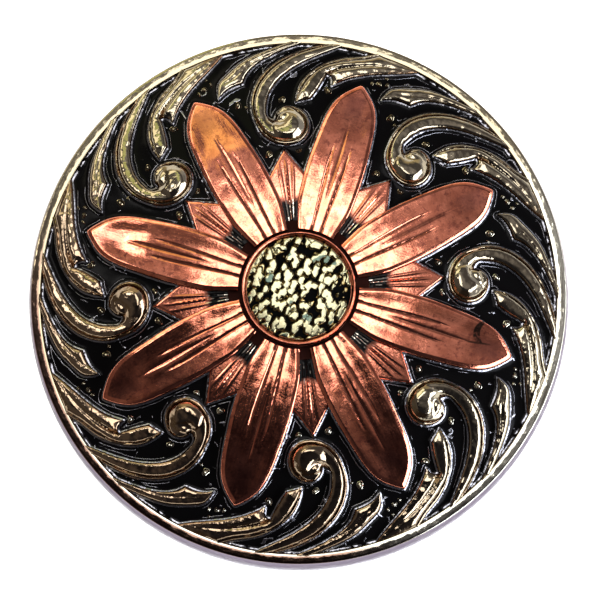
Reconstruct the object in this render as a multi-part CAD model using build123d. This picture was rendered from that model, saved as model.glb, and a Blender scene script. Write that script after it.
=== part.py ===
"""Round western concho: a copper daisy on a domed ground of cast scrollwork.

Millimetres, +Z up, out of the face. The origin is the middle of the back, on the plane that the
concho rests on. The pattern is drawn once, with a long petal along +Y, and then turned into place.
"""
from build123d import *
from math import cos, radians, sin, sqrt
import os

os.makedirs("parts", exist_ok=True)

# Disc and rim
diameter = 38.1
wall_height = 2.9
wall_draft = 0.07
rim_width = 0.95
rim_rise = 0.5
rim_top_width = 0.72
rim_outer_round = 0.36
rim_inner_round = 0.16
ground_edge_z = 2.8
dome_rise = 3.35
plate = 2.1
back_land = 1.9
back_edge_round = 0.25

# Cast relief
relief_edge_rise = 0.5
relief_mid_rise = 0.85
relief_root = 0.5
relief_into_rim = 0.25
relief_clearance = 0.08
scroll_round = 0.36
fork_round = 0.3
leaf_round = 0.2
eye_share = 0.5
eye_crown = 0.36

# Daisy and the small petals under it
repeats = 8
first_petal_turn = 73.3
petal_reach = 15.5
petal_half = 2.03
petal_rise = 0.8
petal_round = 0.28
groove_depth = 0.28
groove_half = 0.13
small_reach = 10.2
small_valley = 6.7
small_thick = 0.3
small_clearance = 0.08
layer_gap = 0.03

# Eye of the daisy
hub_r = 4.9
hub_sink = 0.16
cup_r = 4.1
cup_clearance = 0.1
cup_taper = 0.12
cup_floor = 0.4
cup_height = 0.97
cup_lip = 0.31
cup_lip_round = 0.14
button_clearance = 0.05
button_edge = 0.4
button_crown = 0.3

# Post behind, with its bore
post_r = 3.4
post_short = 0.25
pad_margin = 0.8
spigot_r = 2.45
spigot_clearance = 0.05
bore_r = 1.725
bore_roof = 1.0

# What follows from the sizes above
outer_r = diameter / 2
ground_r = outer_r - rim_width
rim_top_z = wall_height + rim_rise
relief_r = ground_r + relief_into_rim
relief_edge_z = ground_edge_z + relief_edge_rise
relief_dome_rise = dome_rise + relief_mid_rise - relief_edge_rise
pitch = 360 / repeats

# Outlines of the cast relief. Each row is a place in shares of ground_r: how far across from
# the long petal's middle line, and how far out along that line.

# Scroll: outer edge, from the rim to the start of the volute
scroll_outer = [
    (0.594, 0.822),
    (0.470, 0.851),
    (0.343, 0.849),
    (0.238, 0.801),
    (0.182, 0.727),
]

# Scroll: notch under the curl, then the inner edge out to the rim
scroll_inner = [
    (0.233, 0.643),
    (0.221, 0.665),
    (0.232, 0.696),
    (0.254, 0.729),
    (0.293, 0.762),
    (0.348, 0.787),
    (0.497, 0.801),
    (0.638, 0.788),
]

# Single leaf: outer edge from the rim to the point, then the inner edge with its step
leaf_outer = [
    (0.459, 0.904),
    (0.331, 0.920),
    (0.248, 0.921),
    (0.166, 0.9005),
    (0.116, 0.878),
    (0.091, 0.826),
]
leaf_step = [
    (0.091, 0.826),
    (0.127, 0.838),
    (0.204, 0.836),
]
leaf_inner = [
    (0.204, 0.836),
    (0.2265, 0.856),
    (0.331, 0.887),
    (0.514, 0.873),
]

# Forked leaf: outer edge from the rim to the first lobe's tip, that lobe's inner edge to the
# fork, the second lobe's blunt head, and its inner edge out to the rim
fork_outer = [
    (0.735, 0.699),
    (0.663, 0.718),
    (0.608, 0.740),
    (0.497, 0.754),
    (0.398, 0.724),
    (0.346, 0.668),
]
fork_first_lobe = [
    (0.405, 0.653),
    (0.436, 0.6685),
    (0.508, 0.714),
]
fork_second_head = [
    (0.508, 0.714),
    (0.517, 0.700),
    (0.503, 0.663),
]
fork_second_lobe = [
    (0.503, 0.663),
    (0.5525, 0.660),
    (0.663, 0.630),
    (0.7735, 0.580),
    (0.851, 0.550),
]

# Volute: middle and radius of its wide turn in shares of ground_r, the curl's radius in shares
# of the wide turn's, and in degrees where the wide turn starts, where the curl takes over and
# where the curl ends
wide_middle = (0.2873, 0.6354)
wide_share = 0.1216
curl_share = 0.645
wide_start = 180
curl_start = 255.5
curl_end = 435

# Long petal: reach in shares of petal_reach, half width in shares of petal_half
petal_rows = [
    (0.26, 0.64),
    (0.39, 0.92),
    (0.55, 1.00),
    (0.71, 0.95),
    (0.84, 0.84),
    (0.94, 0.50),
]

# Groove beside the petal's middle rib: reach in shares of petal_reach, offset from the middle
# line in shares of petal_half, half width in shares of groove_half
groove_rows = [
    (0.20, 0.13, 1.0),
    (0.39, 0.22, 1.0),
    (0.52, 0.26, 0.6),
    (0.64, 0.24, 0.0),
]


def dome_z(radius, edge_z, rise, edge_r=ground_r):
    """Height of a spherical dome over a circle, at a distance from the middle."""
    ball_r = (edge_r**2 + rise**2) / (2 * rise)
    return edge_z + rise - ball_r + sqrt(ball_r**2 - radius**2)


def dome_arc(edge_z, rise, start_r, end_r):
    """Arc of a dome's section, between two distances from the middle."""
    spots = [(r, 0, dome_z(r, edge_z, rise)) for r in (start_r, (start_r + end_r) / 2, end_r)]
    return ThreePointArc(*spots)


def dome_shell(low_edge_z, low_rise, high_edge_z, high_rise, reach):
    """Round shell between two domes."""
    low = dome_arc(low_edge_z, low_rise, 0, reach)
    high = dome_arc(high_edge_z, high_rise, reach, 0)
    wall = Line(low @ 1, high @ 0)
    axis = Line(high @ 1, low @ 0)
    return revolve(make_face([low, wall, high, axis]), Axis.Z)


def ground_shell(low, high, reach):
    """Round shell between two heights above the ground."""
    return dome_shell(ground_edge_z + low, dome_rise, ground_edge_z + high, dome_rise, reach)


def drum(radius, low_z, high_z):
    """Upright cylinder between two heights."""
    return Pos(0, 0, low_z) * extrude(Circle(radius), amount=high_z - low_z)


def domed_drum(radius, low_z, edge_z, crown):
    """Upright cylinder with a spherical top."""
    stops = (radius, radius / 2, 0)
    arc = ThreePointArc(*[(r, 0, dome_z(r, edge_z, crown, radius)) for r in stops])
    sides = Polyline(arc @ 1, (0, 0, low_z), (radius, 0, low_z), arc @ 0)
    return revolve(make_face([arc, sides]), Axis.Z)


def column(outline):
    """Upright prism on a closed outline, taller than anything it is cut to."""
    return extrude(make_face(outline), amount=2 * (ground_edge_z + dome_rise))


def spot(row):
    """Place in the pattern from a row of shares."""
    return (row[0] * ground_r, row[1] * ground_r)


def spots(rows):
    """Places of a whole table."""
    return [spot(row) for row in rows]


def around(middle, radius, angle):
    """Place on a circle."""
    return (middle[0] + radius * cos(radians(angle)), middle[1] + radius * sin(radians(angle)))


def in_place(solid, step=0):
    """The solid turned from where the pattern is drawn to where it lies, that many repeats on."""
    return Rot(0, 0, first_petal_turn - 90 - pitch * step) * solid


def turned(solid):
    """Copies of a solid, one for each repeat of the pattern."""
    return [in_place(solid, step) for step in range(repeats)]


def rounded_top(solid, radius, reach):
    """Rounds the edges of a solid's top face that lie within a distance from the middle."""
    edges = solid.faces().sort_by(Axis.Z)[-1].edges()
    free = [e for e in edges if Vector((e @ 0.5).X, (e @ 0.5).Y).length < reach]
    return fillet(free, radius)


def relief(outline, radius):
    """Piece of cast relief: a prism cut to the height of the relief, its top rounded."""
    low_z = ground_edge_z - relief_root
    shell = dome_shell(low_z, dome_rise, relief_edge_z, relief_dome_rise, relief_r)
    return rounded_top(column(outline) & shell, radius, ground_r)


def scroll():
    """Stem that grows out of the rim and turns into a volute."""
    middle = spot(wide_middle)
    wide_r = wide_share * ground_r
    curl_r = wide_r * curl_share
    curl_middle = around(middle, wide_r - curl_r, curl_start)
    start = around(middle, wide_r, wide_start)
    join = around(middle, wide_r, curl_start)
    end = around(curl_middle, curl_r, curl_end)
    inner = spots(scroll_inner)
    outer = spots(scroll_outer)
    body = relief([
        Spline(outer + [start]),
        ThreePointArc(start, around(middle, wide_r, (wide_start + curl_start) / 2), join),
        ThreePointArc(join, around(curl_middle, curl_r, (curl_start + curl_end) / 2), end),
        Line(end, inner[0]),
        Spline(inner),
        Line(inner[-1], outer[0]),
    ], scroll_round)
    eye_r = curl_r * eye_share
    eye_edge_z = dome_z(Vector(curl_middle).length + eye_r, relief_edge_z, relief_dome_rise)
    return body + Pos(*curl_middle, 0) * domed_drum(eye_r, eye_edge_z - relief_root, eye_edge_z, eye_crown)


def single_leaf():
    """Slender leaf along the rim, with a step where it leaves its head."""
    outer = spots(leaf_outer)
    inner = spots(leaf_inner)
    step = spots(leaf_step)
    edges = [Spline(outer), Spline(step), Spline(inner), Line(inner[-1], outer[0])]
    return relief(edges, leaf_round)


def forked_leaf():
    """Leaf in two lobes that share one root at the rim."""
    outer = spots(fork_outer)
    first = spots(fork_first_lobe)
    head = spots(fork_second_head)
    second = spots(fork_second_lobe)
    return relief([
        Spline(outer),
        Line(outer[-1], first[0]),
        Spline(first),
        Spline(head),
        Spline(second),
        Line(second[-1], outer[0]),
    ], fork_round)


def seat_z():
    """Height of the flat that the daisy's hub sits on."""
    return dome_z(hub_r, ground_edge_z, dome_rise) - hub_sink


def pad_z():
    """Height of the flat behind the plate, where the post's shoulder sits."""
    return dome_z(post_r + pad_margin, ground_edge_z, dome_rise) - plate


def hub_top_z():
    """Height of the hub's top, level with the small petals."""
    return dome_z(hub_r, ground_edge_z, dome_rise) + layer_gap + small_thick


def cup_floor_z():
    """Height of the cup's floor, where the button sits."""
    return hub_top_z() + layer_gap + cup_floor


def disc():
    """Side wall, rim and domed plate, hollow behind."""
    back_r = outer_r - back_land
    wall_top = (outer_r - wall_draft, 0, rim_top_z)
    rim_inner = (outer_r - wall_draft - rim_top_width, 0, rim_top_z)
    ground = dome_arc(ground_edge_z, dome_rise, ground_r, 0)
    back = dome_arc(ground_edge_z - plate, dome_rise, 0, back_r)
    outside = Polyline(back @ 1, (back_r, 0, 0), (outer_r, 0, 0), wall_top, rim_inner, ground @ 0)
    body = revolve(make_face([outside, ground, Line(ground @ 1, back @ 0), back]), Axis.Z)
    circles = body.edges().filter_by(GeomType.CIRCLE)
    rim_edges = circles.filter_by(lambda e: abs((e @ 0).Z - rim_top_z) < 1e-6).sort_by(SortBy.LENGTH)
    body = fillet(rim_edges[-1], rim_outer_round)
    circles = body.edges().filter_by(GeomType.CIRCLE)
    rim_edges = circles.filter_by(lambda e: abs((e @ 0).Z - rim_top_z) < 1e-6).sort_by(SortBy.LENGTH)
    body = fillet(rim_edges[0], rim_inner_round)
    foot_edges = body.edges().filter_by(GeomType.CIRCLE).filter_by(lambda e: abs((e @ 0).Z) < 1e-6)
    return fillet(foot_edges.sort_by(SortBy.LENGTH)[-1], back_edge_round)


def petal_column(grow):
    """Upright prism on a long petal's outline, grown on every side."""
    side = [(half * petal_half + grow, reach * petal_reach) for reach, half in petal_rows]
    left = [(-x, y) for x, y in side]
    tip = (0, petal_reach + 2 * grow)
    return column([Spline(side + [tip]), Spline(left + [tip]), Line(left[0], side[0])])


def star_column(grow):
    """Upright prism on the small petals' outline: eight points between the long petals."""
    corners = []
    for i in range(repeats):
        middle = 90 + pitch * i
        corners.append(around((0, 0), small_valley + grow, middle))
        corners.append(around((0, 0), small_reach + 2 * grow, middle + pitch / 2))
    return column(Polyline(*corners, close=True))


def base():
    """The one casting: disc, scrolls and leaves, clear of the petals on both sides of them."""
    share = Compound([scroll(), single_leaf(), forked_leaf()])
    blade = petal_column(relief_clearance)
    share -= star_column(relief_clearance) + blade + Rot(0, 0, -pitch) * blade
    body = disc().fuse(*turned(share))
    body -= drum(hub_r + spigot_clearance, seat_z(), rim_top_z + dome_rise)
    body += drum(post_r + pad_margin, pad_z(), seat_z())
    body -= drum(spigot_r + spigot_clearance, 0, rim_top_z + dome_rise)
    return body


def small_petals():
    """The lower copper layer."""
    shell = ground_shell(layer_gap, layer_gap + small_thick, ground_r)
    return (in_place(star_column(0)) & shell) - drum(hub_r + spigot_clearance, 0, rim_top_z + dome_rise)


def petal():
    """One long petal, with a groove on each side of its middle rib."""
    blade = petal_column(0) & ground_shell(layer_gap, petal_rise, petal_reach + rim_width)
    blade = rounded_top(blade, petal_round, petal_reach)
    cut = ground_shell(petal_rise - groove_depth, petal_rise + dome_rise, petal_reach)
    for way in (-1, 1):
        rows = [(way * offset * petal_half, reach * petal_reach, half * groove_half)
                for reach, offset, half in groove_rows]
        near = [(x - half, y) for x, y, half in rows]
        far = [(x + half, y) for x, y, half in rows]
        groove = column([Spline(near), Spline(far), Line(near[0], far[0])])
        blade -= groove & cut
    return blade


def large_petals():
    """The daisy: eight long petals on a flat hub."""
    hub = drum(hub_r, seat_z() + layer_gap, hub_top_z())
    room = drum(cup_r + cup_clearance, hub_top_z(), 2 * rim_top_z + dome_rise)
    small = in_place(star_column(small_clearance))
    small &= ground_shell(0, 2 * layer_gap + small_thick, ground_r)
    small -= drum(hub_r, 0, rim_top_z + dome_rise)
    blades = turned(petal())
    flower = blades[0].fuse(*blades[1:])
    flower -= drum(hub_r, 0, hub_top_z())
    flower = (flower - small) + hub
    flower -= room
    return flower - drum(spigot_r + spigot_clearance, 0, rim_top_z + dome_rise)


def centre_cup():
    """Copper dish with a rounded lip."""
    low_z = hub_top_z() + layer_gap
    high_z = low_z + cup_height
    lip_r = cup_r - cup_taper
    hole_r = spigot_r + spigot_clearance
    room_r = lip_r - cup_lip
    outline = Polyline(
        (hole_r, 0, low_z),
        (cup_r, 0, low_z),
        (lip_r, 0, high_z),
        (room_r, 0, high_z),
        (room_r, 0, cup_floor_z()),
        (hole_r, 0, cup_floor_z()),
        close=True,
    )
    dish = revolve(make_face(outline), Axis.Z)
    lip_edges = dish.edges().filter_by(lambda e: abs((e @ 0).Z - high_z) < 1e-6)
    return fillet(lip_edges, cup_lip_round)


def centre_button():
    """Domed eye that sits in the cup."""
    low_z = cup_floor_z() + layer_gap
    button_r = cup_r - cup_taper - cup_lip - button_clearance
    return domed_drum(button_r, low_z, low_z + button_edge, button_crown)


def screw_post():
    """Plain post with a shoulder behind the plate and a spigot up to the cup's floor."""
    body = drum(post_r, post_short, pad_z() - layer_gap)
    body += drum(spigot_r, post_short, cup_floor_z())
    return body - drum(bore_r, post_short, cup_floor_z() - bore_roof)


nodes = {
    "base": base,
    "small_petals": small_petals,
    "large_petals": large_petals,
    "centre_cup": centre_cup,
    "centre_button": centre_button,
    "screw_post": screw_post,
}
for name, make in nodes.items():
    export_step(make(), "parts/" + name + ".step")
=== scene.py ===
# %% [markdown]
# # A western concho: a copper daisy on black and nickel scrollwork
#
# The real thing is a cast disc, 38 mm across, that is screwed to a belt or a saddle. A rim holds
# a domed ground, painted black. Scrolls and leaves of antiqued nickel stand out of the paint, a
# copper daisy lies over them, and the daisy's eye is a hammered button in a copper cup. This
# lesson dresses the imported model, so the model comes in first and stays where it is.

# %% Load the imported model
from math import cos, pi, radians, sin, sqrt

import bpy
import numpy as np
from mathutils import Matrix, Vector
from mathutils.geometry import delaunay_2d_cdt


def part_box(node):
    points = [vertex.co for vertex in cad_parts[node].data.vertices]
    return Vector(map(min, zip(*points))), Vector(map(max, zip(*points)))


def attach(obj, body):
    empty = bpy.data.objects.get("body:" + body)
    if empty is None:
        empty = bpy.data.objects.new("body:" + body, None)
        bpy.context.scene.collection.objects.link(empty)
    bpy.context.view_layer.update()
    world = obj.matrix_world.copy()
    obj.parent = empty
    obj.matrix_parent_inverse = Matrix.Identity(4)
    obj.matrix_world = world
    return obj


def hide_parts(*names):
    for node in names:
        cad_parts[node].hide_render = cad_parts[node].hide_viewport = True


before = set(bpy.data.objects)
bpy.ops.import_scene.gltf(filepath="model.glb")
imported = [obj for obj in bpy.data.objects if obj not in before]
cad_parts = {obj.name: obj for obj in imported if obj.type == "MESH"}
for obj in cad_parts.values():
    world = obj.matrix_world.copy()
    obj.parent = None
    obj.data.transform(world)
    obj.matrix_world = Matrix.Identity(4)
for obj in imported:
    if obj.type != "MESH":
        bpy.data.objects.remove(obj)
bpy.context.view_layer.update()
for name in sorted(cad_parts):
    low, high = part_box(name)
    print(name, [round(1000 * c, 2) for c in low], [round(1000 * c, 2) for c in high])

# %% [markdown]
# The scene is worked out in millimetres and written in metres. These are the sizes that the
# looks share with the model: the rim, the dome of the ground and the turns of the pattern.

# %% Sizes of the concho in millimetres
MM = 0.001
rim_r = 19.05
ground_r = 18.1
ground_edge_z = 2.8
dome_rise = 3.35
repeats = 8
first_turn = radians(73.3)
pitch = 2 * pi / repeats


def dome_z(radius, edge_z=ground_edge_z, rise=dome_rise):
    """Height of a dome over the ground's circle, at a distance from the middle."""
    ball_r = (ground_r**2 + rise**2) / (2 * rise)
    return edge_z + rise - ball_r + np.sqrt(ball_r**2 - np.asarray(radius) ** 2)


# %% [markdown]
# ## Camera
#
# The photo was taken by hand, almost straight down, from a little over 25 cm. The rim's outline
# and the daisy's middle don't share a centre in it, and that gives the angle: 8.4 degrees short
# of upright, from the lower side. A long lens at that distance keeps the perspective.

# %% Camera at the photo's angle
camera_distance = 266.7
camera_tilt = radians(8.4)
view_width = 42.62
camera_data = bpy.data.cameras.new("camera")
camera_data.sensor_width = 36
camera_data.lens = 36 * camera_distance / view_width
camera_data.clip_start = 0.01
camera_data.clip_end = 10
camera = bpy.data.objects.new("camera", camera_data)
bpy.context.collection.objects.link(camera)
back = Vector((0, -sin(camera_tilt), cos(camera_tilt)))
up = Vector((0, cos(camera_tilt), sin(camera_tilt)))
aim = Vector((0.09, 0, 0)) + 0.204 * up
camera.location = (aim + camera_distance * back) * MM
camera.rotation_euler = (camera_tilt, 0, 0)
bpy.context.scene.camera = camera
print("lens", round(camera_data.lens, 1), "mm")

# %% [markdown]
# ## Light
#
# Polished metal shows what stands around it, so each light is placed by its reflection. The large
# window overhead makes the inner part of the petals glow, and its size and place matter more than
# its strength. A wide low light from the right draws the pale edge along bevels and walls. A side
# window and a far one brighten the left and the upper left, and a small yellow lamp turns the
# end of the petal there to gold. Area lights with an oval shape leave soft highlights.

# %% Soft lights and the table
bpy.context.scene.view_settings.view_transform = "Standard"
bpy.context.scene.view_settings.look = "None"


def soft_light(name, tilt, bearing, distance, size, strength, colour):
    """Oval light that faces the concho: degrees from upright, and its bearing from +X."""
    data = bpy.data.lights.new(name, "AREA")
    data.shape = "ELLIPSE"
    data.size, data.size_y = size
    data.energy = strength
    data.color = colour
    light = bpy.data.objects.new(name, data)
    bpy.context.collection.objects.link(light)
    lean, turn = radians(tilt), radians(bearing)
    away = Vector((sin(lean) * cos(turn), sin(lean) * sin(turn), cos(lean)))
    light.location = away * distance
    light.rotation_euler = away.to_track_quat("Z", "Y").to_euler()
    print(name, strength, "W,", tilt, "degrees from upright")


soft_light("window", 10.8, 86, 0.6, (0.385, 0.42), 2.6, (1.0, 0.98, 0.98))
soft_light("side_window", 39.5, 153, 0.7, (0.13, 0.17), 0.5, (1.0, 0.97, 0.94))
soft_light("low_light", 63, -24, 0.7, (1.0, 0.36), 11.0, (0.86, 0.9, 1.0))
soft_light("far_window", 58, 124, 0.7, (0.6, 0.2), 1.3, (1.0, 0.93, 0.68))
soft_light("lamp", 42, 113, 0.7, (0.24, 0.19), 0.16, (0.9, 1.0, 0.28))

bpy.ops.mesh.primitive_plane_add(size=4)
table = bpy.context.object
table.name = "table"

# %% [markdown]
# ## Writing finishes
#
# A finish is a tree of nodes. Written as sums and products of fields it stays readable, so one
# small class wraps a socket and adds the Math node behind each operator, and one function adds
# every other kind of node. The room and the geometry trees are written with the same two.

# %% One function for nodes, one class for fields
def add_node(tree, kind, settings=None, sockets=None):
    """Adds a node: first its settings, then the value or link of each socket."""
    node = tree.nodes.new(kind)
    for setting, value in (settings or {}).items():
        setattr(node, setting, value)
    for socket, value in (sockets or {}).items():
        if isinstance(value, Field):
            tree.links.new(value.socket, node.inputs[socket])
        else:
            node.inputs[socket].default_value = value
    return node


def operator(operation, turned=False):
    """Method that adds a Math node for two values, in their order or turned round."""
    def method(self, other):
        return self.maths(operation, *((other, self) if turned else (self, other)))
    return method


class Field:
    """A value that varies over a surface. Each operator adds the Math node behind it."""

    def __init__(self, tree, socket):
        self.tree = tree
        self.socket = socket

    def maths(self, operation, *values):
        node = add_node(self.tree, "ShaderNodeMath", {"operation": operation}, dict(enumerate(values)))
        return Field(self.tree, node.outputs[0])

    __add__, __radd__ = operator("ADD"), operator("ADD", True)
    __sub__, __rsub__ = operator("SUBTRACT"), operator("SUBTRACT", True)
    __mul__, __rmul__ = operator("MULTIPLY"), operator("MULTIPLY", True)
    __rtruediv__, or_more = operator("DIVIDE", True), operator("MAXIMUM")

    def __abs__(self):
        return self.maths("ABSOLUTE", self)


class Nodes:
    """A tree that is being written, with the steps that the room, finishes and shapes share."""

    def __init__(self, tree):
        self.tree = tree

    def add(self, kind, settings=None, sockets=None, output=0):
        return Field(self.tree, add_node(self.tree, kind, settings, sockets).outputs[output])

    def between(self, field, low, high, start=0.0, end=1.0):
        """Smooth step of a field, from start at low to end at high."""
        return self.add("ShaderNodeMapRange", {"interpolation_type": "SMOOTHSTEP"}, {
            "Value": field, "From Min": low, "From Max": high, "To Min": start, "To Max": end})

    def mixed(self, amount, first, second):
        """Colour between two colours."""
        first, second = [(*c, 1) if isinstance(c, tuple) else c for c in (first, second)]
        return self.add("ShaderNodeMix", {"data_type": "RGBA"}, {0: amount, 6: first, 7: second}, 2)

    def parts(self, vector):
        """The three parts of a vector."""
        return [Field(self.tree, part) for part in add_node(
            self.tree, "ShaderNodeSeparateXYZ", None, {0: vector}).outputs]


print("nodes are written in Blender", bpy.app.version_string)

# %% [markdown]
# The room round the concho is the first tree. Its colour depends on the direction alone. Its walls
# are dim on the near side, below the concho in the photo, and grey elsewhere. The ceiling brightens
# towards the far side, and a low band is golden there, pale blue at the right and brown at the left.

# %% Room
world = bpy.data.worlds.new("room")
world.use_nodes = True
bpy.context.scene.world = world
room = Nodes(world.node_tree)
toward_x, toward_y, toward_z = room.parts(room.add("ShaderNodeTexCoord", output="Object"))
walls = room.mixed(room.between(toward_y, -0.45, 0.45), (0.05, 0.048, 0.06), (0.21, 0.2, 0.21))
walls = room.mixed(room.between(toward_x, -0.25, -0.65), walls, (0.24, 0.21, 0.2))
walls = room.mixed(room.between(toward_x, 0.3, 0.7), walls, (0.22, 0.2, 0.21))
far_side = room.between(toward_y * 0.9 + toward_x * 0.35, -0.27, 0.38)
ceiling = room.mixed(far_side, (0.015, 0.014, 0.02), (0.76, 0.72, 0.74))
overhead = toward_y * sin(camera_tilt) + toward_z * cos(camera_tilt)
ceiling = room.mixed(room.between(overhead, cos(radians(44)), cos(radians(24))), walls, ceiling)
low_band = room.mixed(room.between(toward_y, -0.4, 0.5), (0.06, 0.04, 0.03), (1.4, 1.15, 0.7))
low_band = room.mixed(room.between(toward_x, 0.25, 0.6), low_band, (0.85, 0.85, 0.95))
low_band = room.mixed(room.between(toward_x, -0.35, -0.8), low_band, (0.2, 0.16, 0.12))
room_colour = room.mixed(room.between(toward_z, 0.5, 0.2), ceiling, low_band)
room.tree.links.new(room_colour.socket, room.tree.nodes["Background"].inputs["Color"])
print("room of", len(room.tree.nodes), "nodes")

# %% [markdown]
# ## Finishes
#
# Antiqued nickel is bright where hands and polishing reach, and brown to black in the hollows,
# where the dark wash stays. Each cast piece stores how far up it a point lies, and the nickel
# darkens with that number. The copper does the same, with fine strokes along each petal. Painted
# textures could hold all this, but a rule that reads the shape fits every copy of a piece.

# %% A class for finishes
class Finish(Nodes):
    """A material that is being written."""

    def __init__(self, name, **constants):
        self.material = bpy.data.materials.new(name)
        self.material.use_nodes = True
        super().__init__(self.material.node_tree)
        self.shader = self.tree.nodes["Principled BSDF"]
        for socket, value in constants.items():
            self.shader.inputs[socket.replace("_", " ")].default_value = value

    def place(self, scale=(1, 1, 1)):
        """Place on the concho in millimetres, stretched."""
        return self.add("ShaderNodeMapping", None, {
            "Vector": self.add("ShaderNodeTexCoord", output="Object"), "Scale": tuple(s / MM for s in scale)})

    def noise(self, size, detail=2.0, rough=0.5, place=None):
        """Even noise from 0 to 1, with lumps of about that size in millimetres."""
        return self.add("ShaderNodeTexNoise", None, {
            "Vector": place or self.place(), "Scale": 1 / size, "Detail": detail, "Roughness": rough}, "Fac")

    def stored(self, name):
        """Number that the mesh stores at each point."""
        return self.add("ShaderNodeAttribute", {"attribute_name": name}, output="Fac")

    def wire(self, **fields):
        """Links fields to the shader's sockets."""
        for socket, field in fields.items():
            self.tree.links.new(field.socket, self.shader.inputs[socket.replace("_", " ")])
        print(self.material.name, len(self.tree.nodes), "nodes")

    def bumpy(self, height, depth):
        """Fine relief of that depth in millimetres."""
        self.wire(Normal=self.add("ShaderNodeBump", None, {"Height": height, "Distance": depth * MM}))


# %% Antiqued nickel on the relief
nickel = Finish("antique_nickel_finish", Specular_IOR_Level=0.02, Specular_Tint=(0.45, 0.43, 0.45, 1))
wash_black, wash_brown = (0.006, 0.005, 0.004), (0.13, 0.065, 0.03)
spot_x, spot_y, _ = nickel.parts(nickel.place())
on_rim = nickel.stored("rim")
round_rim = nickel.add("ShaderNodeCombineXYZ", None, {
    "X": nickel.stored("out") * 8.0, "Y": spot_x * 0.22, "Z": spot_y * 0.22})
streaks = nickel.noise(1.0, 3, place=round_rim) - 0.5
patches = (nickel.noise(0.9, 3) - 0.5) * 0.5
specks = (nickel.noise(0.2, 3, 0.6) - 0.5) * 0.8
high_up = nickel.stored("crest") + (patches + specks) * (1 - on_rim) + streaks * on_rim * 0.8
clean = nickel.between(high_up, 0.35, 0.75)
tone = nickel.mixed(nickel.noise(2.6, 2), (0.18, 0.15, 0.105), (0.27, 0.235, 0.165))
# Painted shade: the relief's tone turns darker and browner towards the lower left, the side away from the
# light.
lower_left_shade = nickel.between(spot_x + spot_y + patches * 8.0, 2.0, -16.0)
tone = nickel.mixed(lower_left_shade, tone, (0.2, 0.145, 0.095))
print("relief nickel", len(nickel.tree.nodes), "nodes")

# %% The same nickel on the rim and the side wall
# Painted shade: the rim's band turns dark brown towards the lower left, the side away from the light.
rim_lower_left_shade = nickel.between(spot_x * 0.85 + spot_y + streaks * 12.0, -8.0, -17.0)
# The rim's tone turns yellower and darker towards the top.
rim_towards_top = nickel.between(spot_y - spot_x * 0.5, -6.0, 4.0)
clear_rim = nickel.mixed(rim_towards_top, (0.37, 0.36, 0.3), (0.21, 0.18, 0.117))
rim_tone = nickel.mixed(nickel.between(streaks, -0.2, 0.0), (0.13, 0.115, 0.085), clear_rim)
rim_tone = nickel.mixed(rim_lower_left_shade * nickel.stored("band"), rim_tone, (0.115, 0.07, 0.05))
# Painted shade and reflection: the side wall is a dark lavender-grey at the bottom and a pale beige at the
# top.
wall_shade_and_reflection = nickel.mixed(nickel.between(spot_y, -4.0, 9.0), (0.19, 0.168, 0.2), (0.48, 0.45, 0.38))
worn = nickel.mixed(clean, wash_brown, nickel.mixed(on_rim, tone, rim_tone))
worn = nickel.mixed(nickel.stored("side"), worn, wall_shade_and_reflection)
nickel.wire(
    Base_Color=nickel.mixed(nickel.between(high_up, 0.05, 0.38), wash_black, worn),
    Metallic=nickel.between(high_up, 0.05, 0.3),
    Roughness=nickel.between(clean, 0, 1, 0.3, 0.1) + (nickel.noise(0.25, 3) - 0.5) * 0.06,
)
cast_skin = nickel.noise(0.2, 2) * 0.5 + nickel.noise(0.5, 1) * 1.8 + nickel.noise(1.0, 1) * 3.0
nickel.bumpy(cast_skin * (1 - on_rim * 0.6), 0.018)

# %% [markdown]
# The paint is black, and metal shows through it in fine lines: where it stands up against a
# foot, in a broken ridge a little way off, and here and there in a wandering wrinkle. The mesh
# stores each point's distance to the nearest foot in millimetres, and noise bends the lines.

# %% Black paint in the ground
paint = Finish("black_paint_finish", IOR=1.5, Specular_IOR_Level=0.03)
to_foot = paint.stored("foot")
bent = to_foot + (paint.noise(1.6, 2) - 0.5) * 0.3
broken = paint.between(paint.noise(2.6, 2), 0.47, 0.52)
ridge = paint.between(bent, 0.22, 0.28) * (1 - paint.between(bent, 0.28, 0.34)) * broken
crossing = paint.noise(1.5, 1) - 0.5
here_and_there = paint.between(paint.noise(1.1, 2, place=paint.place((1, 1, 2))), 0.6, 0.65)
wrinkle = paint.between(crossing * crossing, 0.0007, 0.0001) * here_and_there
foot_wall = paint.between(to_foot + (paint.noise(0.6, 2) - 0.5) * 0.1, 0.13, 0.07)
bare = paint.between(ridge + wrinkle + foot_wall, 0.35, 0.75)
paint.wire(
    Base_Color=paint.mixed(bare, (0.0015, 0.0014, 0.0015), (0.17, 0.17, 0.185)),
    Metallic=bare,
    Roughness=paint.between(bare, 0, 1, 0.18, 0.24),
)
paint.bumpy(ridge + wrinkle, 0.04)

# %% [markdown]
# Copper is mottled, with a dark that stays low and a darker middle at each petal's end. One petal
# at the right has a flaw: a dark crescent, cut off by a fine crease whose shade is painted as a dark
# line. Copper pieces store how far a point lies from the petal's rib, with a number added that
# tells the long petals from the small ones, because a piece that stores nothing reads as 0.

# %% Copper for the long petals and the cup
long_rib, small_rib = 10.0, 20.0
copper_dark = (0.014, 0.005, 0.004)


def aged_copper(finish, dull, fresh, clean_from):
    """Grain, mottled colour, and how clean of the dark a point is."""
    grain = finish.noise(0.16, 3, 0.6)
    patina = finish.between(finish.noise(1.3, 4, 0.65), 0.38, 0.66)
    clean = finish.between(finish.stored("crest") + (grain - 0.5) * 0.3, 0.1, clean_from)
    return grain, finish.mixed(patina, dull, fresh), clean


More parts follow.
